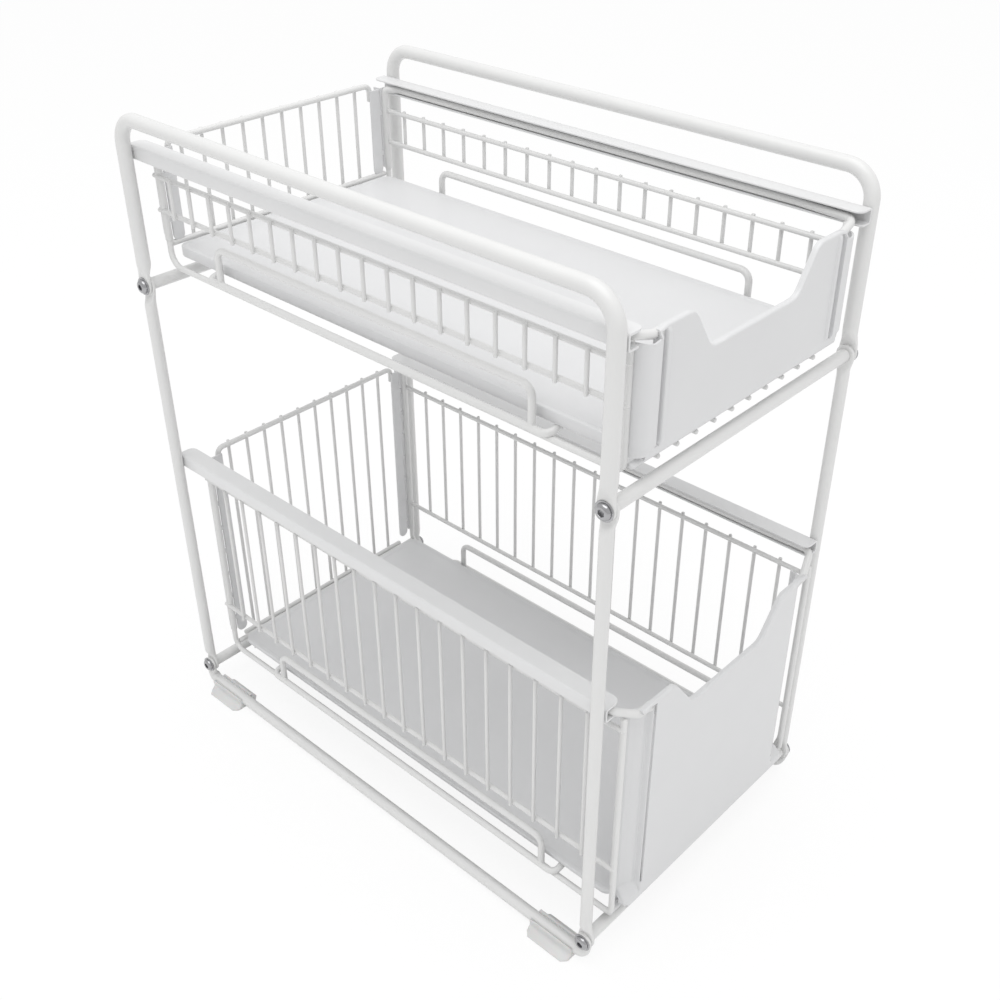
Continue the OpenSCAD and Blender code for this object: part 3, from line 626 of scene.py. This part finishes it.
def make_rails():
    """A C section of sheet carried along Y. Its flanges' free edges draw back at both ends by
    r - sqrt(r^2 - (r-d)^2), which rounds the corners."""
    h, t, r = S.rail_h, S.rail_t, S.rail_corner
    flat, shorter, fold = h / 2 - t / 2, 3.2, 1.1
    for row, z, d in (("upper", S.upper_rail, S.top_tube), ("lower", S.lower_rail, S.post_tube)):
        out = S.frame_w / 2 - d / 2 + BITE - t / 2
        half = S.frame_d / 2 + S.rail_over
        near = np.concatenate([r * (1 - np.cos(np.linspace(0.02, math.pi / 2, 10))), [40, 120]])
        y = np.concatenate([-half + near, [0], half - near[::-1]])
        gone = r - np.sqrt(np.clip(r * r - np.clip(r - (half - np.abs(y)), 0, r) ** 2, 0, None))
        top = S.width / 2 + gone + t * 0.25
        under = S.width / 2 + shorter + gone * 0.3 + t * 0.25
        web = rounded([(0, flat, 0), (out, flat, 0), (out, -flat, 0), (0, -flat, 0)],
                      fold, 7)[1:-1, :2]
        line = np.concatenate([np.stack([top, np.full(len(y), flat)], -1)[:, None],
                               np.broadcast_to(web, (len(y), *web.shape)),
                               np.stack([under, np.full(len(y), -flat)], -1)[:, None]], 1)
        section = strip(line, t)
        rings = np.stack([section[..., 0], np.broadcast_to(y[:, None], section.shape[:2]),
                          section[..., 1] + z], -1)
        for side, mirror in SIDES:
            s = Shape(mirror)
            s.loft(rings)
            s.build("rail_%s_%s" % (row, side), "frame", "rail_paint",
                    ["%s_rail_%s" % (row, side)], 40)


def make_sides():
    """Round bars along bent paths: the thick lip wire from under the front's fold along the rail
    to the back, the rim wire below it, and two grille wires. Upright i stands at first + i times
    the pitch."""
    x, rim, back = S.width / 2, S.rim, S.back
    run, gx = x + rim + 1.6, x + WIRE_OUT
    ux, past = gx + (S.grille + S.upright) / 2 - SINK, S.grille / 2 + 0.3
    for name, t in tiers():
        bend_x, bend_y = t["bend"]
        lip, post = t["face"] + S.sheet + S.lip / 2 + 0.1, t["face"] + t["post"]
        top, low, high = t["top"], t["rim"], t["slide"] + (S.lip - rim) / 2
        thick = [(x - 34, lip + 0.5, top - 17), (x - 20, lip, top - 3.7), (x - 11, lip, top - 3.5),
                 (run + bend_x, lip + bend_y, high), (run, lip + 40, high), (run, back - 10, high),
                 (x, back, high), (x, back, low + 17)]
        thin = [(x, back, low + 20), (x, back, low), (x, post, low), (x, post, top - 1)]
        ys = -S.front + t["first"] + np.arange(S.side_wires) * S.pitch
        for side, mirror in SIDES:
            s = Shape(mirror)
            s.wire(moved(thick, t), S.lip, [0, 12, 6, 6.5, 30, 6, 4, 0], 18)
            s.wire(moved(thin, t), rim, [0, 15, 6, 0], 16)
            for y in ys:
                s.wire(moved([(ux, y, t["wires"][1] - past), (ux, y, t["wires"][0] + past)], t),
                       S.upright, sides=10)
            for z in t["wires"]:
                s.wire(moved([(gx, post + SINK, z), (gx, back + 4.5, z)], t), S.grille)
                s.weld(moved([(ux - S.upright / 2 + 0.1, y, z) for y in ys], t), SIDE_BEAD)
                s.weld(moved([(x + 0.6, post, z), (x + 0.6, back, z)], t), POST_BEAD)
            s.build("%s_rim_and_grille_%s" % (name, side), name + "_basket", "wire_paint",
                    ["%s_side_%s" % (name, side)])


def make_guards():
    """An arch on a bar with turned-in ends. The bar lies against the rim wire, so it stands
    sqrt((half of both wires - bite)^2 - out^2) above it."""
    x, d = S.width / 2 + ARCH_OUT, S.guard
    half, end = S.guard_l / 2, S.guard_l / 2 + S.guard_tail
    hook, ax = x - S.guard_hook, x - 0.9
    for name, t in tiers():
        low = t["rim"] + math.sqrt(((S.rim + d) / 2 - BITE) ** 2 - ARCH_OUT ** 2)
        y, high = t["guard_y"], low + S.guard_h
        for side, mirror in SIDES:
            s = Shape(mirror)
            s.wire(moved([(ax, y - half, low), (ax, y - half, high),
                          (ax, y + half, high), (ax, y + half, low)], t), d, 7, 18)
            s.wire(moved([(hook, y - end, low + 2), (x, y - end, low),
                          (x, y + end, low), (hook, y + end, low + 2)], t), d, 5, 18)
            s.weld(moved([(x - 0.5, y - half, low + 2), (x - 0.5, y + half, low + 2)], t),
                   ARCH_BEAD)
            s.build("%s_arch_%s" % (name, side), name + "_basket", "wire_paint",
                    ["%s_guard_%s" % (name, side)])


def make_backs():
    """Round bars: a top wire with its ends turned down, the low wires, the cross wire behind the
    tray, and uprights at (i - (n - 1) / 2) times their pitch; under the tray, a floor grid at
    the same pitch."""
    xs = (np.arange(S.back_wires) - (S.back_wires - 1) / 2) * S.back_pitch
    turned, rise, second = 12, 4.6, 4.5
    half, bar, across = S.width / 2 - S.rim / 2 + BITE, xs[-1] + 12, xs[-1] + 4
    by = S.back + S.back_step
    uy = by + (S.rim + S.upright) / 2 - SINK
    for name, t in tiers():
        top, low, z = t["slide"] + rise, t["end"], t["rim"] + t["bar_rise"]
        lows = [low, t["rim"] + second] if t["lower"] else [low]
        y = S.back + 2 - t["bar_in"]
        s = Shape()
        s.wire(moved([(-bar, by, top - turned), (-bar, by, top), (bar, by, top),
                      (bar, by, top - turned)], t), S.rim, 5, 16)
        s.wire(moved([(-half, y, z), (half, y, z)], t), S.rim, sides=16)
        for z in lows:
            s.wire(moved([(-bar, by, z), (bar, by, z)], t), S.rim, sides=16)
        for x in xs:
            s.wire(moved([(x, uy, low - 1), (x, uy, top + S.rim / 2 - SINK)], t),
                   S.upright, sides=10)
        for z in lows + [top]:
            s.weld(moved([(x, uy - S.upright / 2 + 0.1, z) for x in xs], t), BACK_BEAD)
        s.build(name + "_rear_grille", name + "_basket", "wire_paint", [name + "_back_panel"])
        s = Shape()
        z = t["grid"]
        for x in xs:
            s.wire(moved([(x, low_wire() - S.rim / 2, z), (x, by + S.rim / 2 + 0.6, z)], t),
                   S.floor_wire, sides=12)
        for y in (-S.frame_d / 6, S.frame_d / 6):
            s.wire(moved([(-across, y, z + 2.6), (across, y, z + 2.6)], t), S.floor_wire, sides=12)
        s.build(name + "_floor_wires", name + "_basket", "wire_paint", [name + "_floor_grid"])


def make_rear_corners():
    """A leaf in front of the back wires, cut free of its wing by slots but for a few tabs, with a
    round lower end; the wing ends in a small hook. Round end: z = low + r - sqrt(r^2 - (x-c)^2)."""
    wing, gap, tab = S.width / 2 - S.rim / 2 + BITE, 1.5, 3.2
    left, y = wing - S.leaf, S.back + S.back_step - S.rim / 2 - S.sheet + BITE
    r = (S.leaf - gap - S.sheet) / 2
    for name, t in tiers():
        low, high = t["tray"] + 1.6, t["slide"] + 1
        xs = np.concatenate([left + r - r * np.cos(np.linspace(0, math.pi, 11)),
                             [wing - S.sheet, wing]])
        z0 = low + r - np.sqrt(np.clip(r * r - (xs - left - r) ** 2, 0, None))
        z0[-2:] = low + r
        tabs = np.arange(low + 14, high - 8, 22 if t["lower"] else 30)
        rows = np.unique(np.concatenate([[low + r + 0.6, high], tabs, tabs + tab]))
        z = np.concatenate([z0[None], np.broadcast_to(rows[:, None], (len(rows), len(xs)))])
        front = np.stack([np.broadcast_to(xs, z.shape), np.full(z.shape, y), z], -1)
        keep = np.ones((len(z) - 1, len(xs) - 1), bool)
        middle = ((z[:-1, 0] + z[1:, 0]) / 2)[:, None]
        keep[:, -2] = ((middle > tabs) & (middle < tabs + tab)).any(1)
        gy, gz = np.meshgrid([y + S.sheet * 0.9, y + S.sheet + S.wing], [low + r, high])
        flap = np.stack([np.full(gy.shape, wing - S.sheet), gy, gz], -1)
        hx, tip, foot = wing - 0.6, y + S.sheet + S.wing - 1.2, low + r - 1.5
        for side, mirror in SIDES:
            s = Shape(mirror)
            s.plate(moved(front, t), moved(front + [0, S.sheet, 0], t), keep)
            s.plate(moved(flap, t), moved(flap + [S.sheet, 0, 0], t))
            s.wire(moved([(hx, tip, foot + 4.5), (hx, tip, foot), (hx, tip - 3.2, foot)], t),
                   1.8, 1.4, 10)
            s.build("%s_rear_leaf_%s" % (name, side), name + "_basket", "sheet_paint",
                    ["%s_rear_corner_%s" % (name, side)])


def make_trays():
    """Rings from the middle of the deck over the bead, down the side and back under the deck; each
    is a rounded rectangle, drawn in by d at height z. Two end folds stand on the floor grid."""
    k, middle, corner = S.tray_sheet, 60, 7
    hx = S.width / 2 - S.rim / 2 - 1.8
    y0 = -S.front + S.sheet + S.rim + 1
    for name, t in tiers():
        y1 = S.back - t["bar_in"] - S.rim / 2 - 0.4
        hy, cy, top, low = (y1 - y0) / 2, (y1 + y0) / 2, t["tray"], t["tray"] - t["tray_flange"]
        profile = [(middle, top), (9, top), (4.6, top), (4.0, top + 0.12), (3.2, top + 0.55),
                   (2.4, top + 0.75), (1.5, top + 0.75)]
        profile += [(0.8 * (1 - math.sin(a)), top + 0.7 - 0.9 * (1 - math.cos(a)))
                    for a in np.linspace(0, 1.57, 6)]
        profile += [(0, low + 0.5), (0.3, low), (0.8, low), (k, low + 0.4), (k, top - 1.5),
                    (3.4, top - k - 0.3), (middle, top - k)]
        rings = []
        for d, z in profile:
            out = rounded_box(hx - d, hy - d, max(0.6, corner - k * d))
            rings.append(np.column_stack([out[:, 0], out[:, 1] + cy, np.full(len(out), z)]))
        s = Shape()
        s.loft(moved(np.array(rings), t))
        gx, gz = np.meshgrid(np.linspace(8 - hx, hx - 8, 9),
                             [t["grid"] + S.floor_wire / 2 - BITE, top - k])
        for y in (y0 + 0.6, y1 - 0.6 - k):
            fold = np.stack([gx, np.full(gx.shape, y), gz], -1)
            s.plate(moved(fold, t), moved(fold + [0, k, 0], t))
        s.build(name + "_deck", name + "_basket", "sheet_paint", [name + "_tray"])


def low_wire():
    """Where the fronts' low wire stands along Y."""
    return -S.front + S.sheet + S.rim / 2 + 0.8


def front_columns(t):
    """The columns of a front along X: where each stands, how far it has wrapped back round the
    corner, r (1 - cos a) at r sin a, and how far it is pressed in, a sum of smooth steps. The
    lower drawer's corner strips stand behind the face; the upper ones follow a ridge and a
    groove. Also gives the slit's two edges."""
    inner, outer, r, half = S.face_w / 2, S.face_w / 2 + S.slit, t["roll"], t["half"]
    turn, leaf = np.linspace(0, math.pi / 2, 11), np.array([(0, 0.9), (0.1, 1.8), (0.7, 2.7)])
    notch = S.notch_floor / 2 - 6
    x = np.concatenate([np.arange(0, notch, 6.3), np.linspace(notch, inner - 5, 30),
                        np.linspace(inner - 2.5, outer, 11),
                        np.linspace(outer + 0.35, outer + 9, 22),
                        half - r + r * np.sin(turn), half + leaf[:, 0]])
    wrap = np.zeros(len(x))
    wrap[-len(turn) - 3:] = np.concatenate([r * (1 - np.cos(turn)), r + leaf[:, 1]])
    inner = x[np.argmin(np.abs(x - inner))]
    if t["lower"]:
        steps = ((0.6, outer - 0.2, outer - 0.1), (4.2, outer, outer + 1.4),
                 (3.5, outer + 1.4, half - 2))
    else:
        steps = ((-1.1, inner + 1.6, inner + 2.6), (1.1, inner + 4.6, inner + 5.6),
                 (4.6, inner + 5.2, inner + 6), (-5.8, inner + 8.8, inner + 9.4))
    press = sum(depth * smooth(x, a, b) for depth, a, b in steps)
    return *(np.concatenate([sign * v[:0:-1], v])
             for sign, v in ((-1, x), (1, wrap), (1, press))), inner, outer


def make_fronts():
    """One formed sheet for each drawer, on a grid of columns along X and rows. The rows run from
    the bottom hem, a quarter round, up the face, round the top edge, another quarter round, and
    back along the fold. The top edge is a path with rounded corners, read at each column; it
    droops at the fold's ends, and so do the corner strips' tops. Cells are left out for the lower
    drawer's slits, above the corner strips and at their lower ends."""
    hem_r, r = 1.2, 1.5
    hem = np.linspace(0, math.pi / 2, 5)[:-1, None]
    arc = np.linspace(0, math.pi / 2, 8)[1:, None]
    depth = np.array([[2.1], [2.8], [S.front_fold]])
    for name, t in tiers():
        x, wrap, press, inner, outer = front_columns(t)
        ax, half, flange, f = np.abs(x), t["half"], t["flange"], t["face"]
        top, low = t["top"] + t["edge_rise"], t["end"] + S.rim / 2 + t["hem_rise"]
        floor, notch_z = S.notch_floor / 2 + t["notch_grow"], top - S.notch_depth
        path = rounded([(0, notch_z), (floor, notch_z), (S.notch_w / 2, top), (half + 1, top)],
                       S.notch_r, 12)
        edge = np.interp(ax, path[:, 0], path[:, 1]) - 1.4 * smooth(ax, flange - 8, flange + 1)

        start, gap, end = low + t["press_rise"], top - t["strip_drop"], top - 2
        shut = gap + 0.9
        level = np.concatenate([low + np.array([hem_r, 3, 5, 7]), start + np.array([0, 0.8, 4]),
                                np.linspace(start + 12, gap - 10, 12),
                                [gap - 4, gap - 1, gap, shut, end, top - r]])
        v = (level - level[0]) / (level[-1] - level[0])
        z = level[0] + v[:, None] * (edge - r - level[0])
        droop = t["droop"] * np.exp(-((ax - half + 7) / 4) ** 2) * (ax > outer)
        z = z - np.interp(level, [gap - 10, gap, shut, end], [0, 1, 1, 0])[:, None] * droop
        window = smooth(level, start - 3, start) * (1 - smooth(level, shut, end + 0.4))
        y = f + wrap + window[:, None] * press
        y = np.concatenate([f + wrap[None] + 3, f + wrap + hem_r * (1 - np.sin(hem)), y,
                            f + wrap + r * (1 - np.cos(arc)),
                            f + wrap * (1 - depth / 12) + depth])
        z = np.concatenate([np.full((1, len(x)), low),
                            low + hem_r * (1 - np.cos(hem)) + 0 * ax, z,
                            edge - r + r * np.sin(arc), edge - depth * 0.12 + 0.15])
        front = np.stack([np.broadcast_to(x, y.shape), y, z], -1)

        row = np.concatenate([np.full(5, low), level, np.full(len(y) - 5 - len(level), top)])
        mid_z = ((row[:-1] + row[1:]) / 2)[:, None]
        mid_x = np.abs((x[:-1] + x[1:]) / 2)
        cut = (mid_x > flange) & (mid_z > gap)
        cut |= (mid_x > half - t["roll"] + 0.8) & (mid_z < low + 3)
        if t["lower"]:
            cut |= (mid_x > inner) & (mid_x < outer) & (mid_z > start) & (mid_z < end)
        s = Shape()
        s.plate(moved(front, t), moved(behind(front, S.sheet), t), ~cut)
        wx = S.width / 2 - 1
        s.wire(moved([(-wx, low_wire(), t["end"]), (wx, low_wire(), t["end"])], t),
               S.rim, sides=16)
        s.build(name + "_front_sheet", name + "_basket", "sheet_paint",
                [name + "_front_panel", name + "_front_corner_left", name + "_front_corner_right"],
                50)


def make_feet():
    """A section with a cradle, r (cos a, sin a), between two wings, carried along the base tube;
    at both ends it draws in and thins."""
    w, r, lip = S.foot_w / 2, S.bar / 2 + 0.05, S.foot_z
    high = lip + 2.7
    a = np.linspace(math.radians(22), -math.pi / 2, 9)[:-1]
    half = np.concatenate([[(0, 0), (6, 0), (w - 0.8, 0), (w, 0.5), (w, 1.3), (w - 0.6, 1.8),
                            (7.2, 2.7), (5.9, 3.5), (5.4, 4.6), (5.5, lip), (5.9, lip + 1.6),
                            (5.7, lip + 2.5), (5.0, high), (4.3, lip + 2.2)],
                           np.stack([r * np.cos(a), lip + r * np.sin(a)], -1)])
    section = np.concatenate([half, [(0, lip - r)], half[:0:-1] * [-1, 1]])
    # along the foot, as a share of half its length, with what the ends lose in height and width
    along, thin, draw = (np.array(v)[:, None] for v in (
        (-1, -0.985, -0.93, -0.8, 0, 0.8, 0.93, 0.985, 1),
        (0.6, 0.2, 0, 0, 0, 0, 0, 0.2, 0.6),
        (4.2, 3.4, 2.4, 0, 0, 0, 2.4, 3.4, 4.2)))
    far = np.sign(section[:, 0]) * smooth(np.abs(section[:, 0]), 6, w)
    for end, sign in ENDS:
        y = sign * (S.frame_d / 2 - S.foot_inset) + along * S.foot_l / 2
        rings = np.stack(np.broadcast_arrays(S.frame_w / 2 + section[:, 0] - far * draw, y,
                                             np.clip(section[:, 1], thin, high - thin)), -1)
        for side, mirror in SIDES:
            s = Shape(mirror)
            s.loft(rings)
            s.build("clip_%s_%s" % (end, side), "frame", "foot_plastic",
                    ["foot_%s_%s" % (end, side)], 40)


def paint_nodes():
    """Gives the CAD nodes that stay visible their finish."""
    looks = finishes()
    slots = {p["node"]: p["material_slot"] for p in frame["record"]["subparts"]}
    for node, obj in frame["nodes"].items():
        if slots.get(node) in looks:
            obj.data.materials.clear()
            obj.data.materials.append(looks[slots[node]])


# ---------------------------------------------------------------- stage

# the camera's place in metres and its axes
CAMERA = (-0.52843, -0.51315, 0.70309)
RIGHT = (0.672108, -0.740432, 0.005589)
UP = (0.405638, 0.374501, 0.833791)
BACKWARDS = (-0.619459, -0.55813, 0.552052)
AMBIENT = 0.84  # strength of the white world for all but what the camera sees
FLOOR_GLOW = 0.88  # share of plain white in the floor that the camera sees


def stage_object(name, data, matrix=Matrix()):
    """Puts a camera, a lamp or a mesh in the scene."""
    obj = bpy.data.objects.new(name, data)
    bpy.context.scene.collection.objects.link(obj)
    obj.matrix_world = matrix
    return obj


def make_stage():
    """A camera, a round softbox overhead, a white world and a square floor, a flat grid."""
    scene = bpy.context.scene
    scene.view_settings.view_transform = "Standard"
    cam = bpy.data.cameras.new("camera")
    cam.sensor_width, cam.lens, cam.clip_end = 36, 44.937, 20
    cam.shift_x, cam.shift_y = -0.0212, -0.0004
    turn = Matrix((RIGHT, UP, BACKWARDS)).transposed().to_4x4()
    scene.camera = stage_object("camera", cam, Matrix.Translation(CAMERA) @ turn)

    lamp = bpy.data.lights.new("softbox", "AREA")
    lamp.shape, lamp.size, lamp.energy = "DISK", 2.2, 24
    tilt = Matrix.Rotation(0.1, 4, "X") @ Matrix.Rotation(-0.15, 4, "Y")
    stage_object("softbox", lamp, Matrix.Translation((-0.35, -0.2, 2.3)) @ tilt)

    scene.world = bpy.data.worlds.new("white")
    nodes = Nodes(scene.world)
    seen = nodes.add("ShaderNodeLightPath", "Is Camera Ray")
    dim, white = (nodes.add("ShaderNodeBackground", inputs={"Color": (1, 1, 1, 1), "Strength": k})
                  for k in (AMBIENT, 1))
    sky = nodes.add("ShaderNodeMixShader", inputs={0: seen, 1: dim, 2: white})
    nodes.add("ShaderNodeOutputWorld", inputs={"Surface": sky})

    gx, gy = np.meshgrid(np.linspace(-3, 3, 7), np.linspace(-3, 3, 7), indexing="ij")
    points = np.stack([gx, gy, np.zeros_like(gx)], -1).reshape(-1, 3)
    i = np.arange(49).reshape(7, 7)
    quads = np.stack([i[:-1, :-1], i[1:, :-1], i[1:, 1:], i[:-1, 1:]], -1).reshape(-1, 4)
    mesh = bpy.data.meshes.new("floor")
    mesh.from_pydata(points.tolist(), [], quads.tolist())
    nodes = Nodes(bpy.data.materials.new("floor_white"))
    skin = nodes.add("ShaderNodeBsdfPrincipled", inputs={
        "Base Color": (0.95, 0.95, 0.95, 1), "Roughness": 0.9, "Specular IOR Level": 0.1})
    glow = nodes.add("ShaderNodeEmission", inputs={"Color": (1, 1, 1, 1)})
    seen = nodes.add("ShaderNodeLightPath", "Is Camera Ray") * FLOOR_GLOW
    blend = nodes.add("ShaderNodeMixShader", inputs={0: seen, 1: skin, 2: glow})
    nodes.add("ShaderNodeOutputMaterial", inputs={"Surface": blend})
    mesh.materials.append(nodes.owner)
    floor = stage_object("floor", mesh)


def operator(name, label, about, work):
    """An operator class that runs work and raises if it fails."""
    def execute(self, context):
        work()
        return {"FINISHED"}
    return type("BASKET_OT_" + name, (Operator,), {
        "__doc__": about, "bl_idname": "basket." + name, "bl_label": label,
        "bl_options": {"REGISTER", "UNDO"}, "execute": execute})


OPERATORS = [
    operator("stage", "Stage", "Camera, lamp, white world and floor", make_stage),
    operator("finish_nodes", "Paint CAD nodes", "Puts the finishes on the CAD nodes that stay",
             paint_nodes),
    operator("tubes", "Tubes", "Hoops, legs and base tubes with squeezed ends", make_tubes),
    operator("crossbars", "Crossbars", "The four crossbars", make_crossbars),
    operator("bolts", "Bolts", "The eight flanged bolts", make_bolts),
    operator("rails", "Rails", "The four C-rails", make_rails),
    operator("sides", "Drawer sides", "Rim wires, grille wires and uprights", make_sides),
    operator("guards", "Guards", "The arches along the drawers' sides", make_guards),
    operator("backs", "Drawer backs", "Back panels and floor grids", make_backs),
    operator("rear_corners", "Rear corners", "Slotted leaves with wings", make_rear_corners),
    operator("trays", "Trays", "Sheet trays with beads and folds", make_trays),
    operator("fronts", "Fronts", "Formed front sheets with hand notch, slits and corner strips",
             make_fronts),
    operator("feet", "Feet", "Snap-on feet", make_feet),
]


class BASKET_PT_panel(Panel):
    """Buttons for each group of pieces."""
    bl_label = "Basket"
    bl_idname = "BASKET_PT_panel"
    bl_space_type = "VIEW_3D"
    bl_region_type = "UI"
    bl_category = "Basket"

    def draw(self, context):
        for key, cls in GROUPS.items():
            for prop in cls.__annotations__:
                self.layout.prop(getattr(context.scene, key), prop)
        for op in OPERATORS:
            self.layout.operator(op.bl_idname)


GROUPS = {"basket_frame": BasketFrameSizes, "basket_drawer": BasketDrawerSizes,
          "basket_finish": BasketFinish}


def register():
    for cls in (*GROUPS.values(), *OPERATORS, BASKET_PT_panel):
        bpy.utils.register_class(cls)
    for key, cls in GROUPS.items():
        setattr(bpy.types.Scene, key, PointerProperty(type=cls))


def unregister():
    for key in GROUPS:
        delattr(bpy.types.Scene, key)
    for cls in reversed((*GROUPS.values(), *OPERATORS, BASKET_PT_panel)):
        bpy.utils.unregister_class(cls)


def main():
    register()
    for op in OPERATORS:
        getattr(bpy.ops.basket, op.bl_idname.split(".")[1])()


if __name__ == "__main__":
    main()
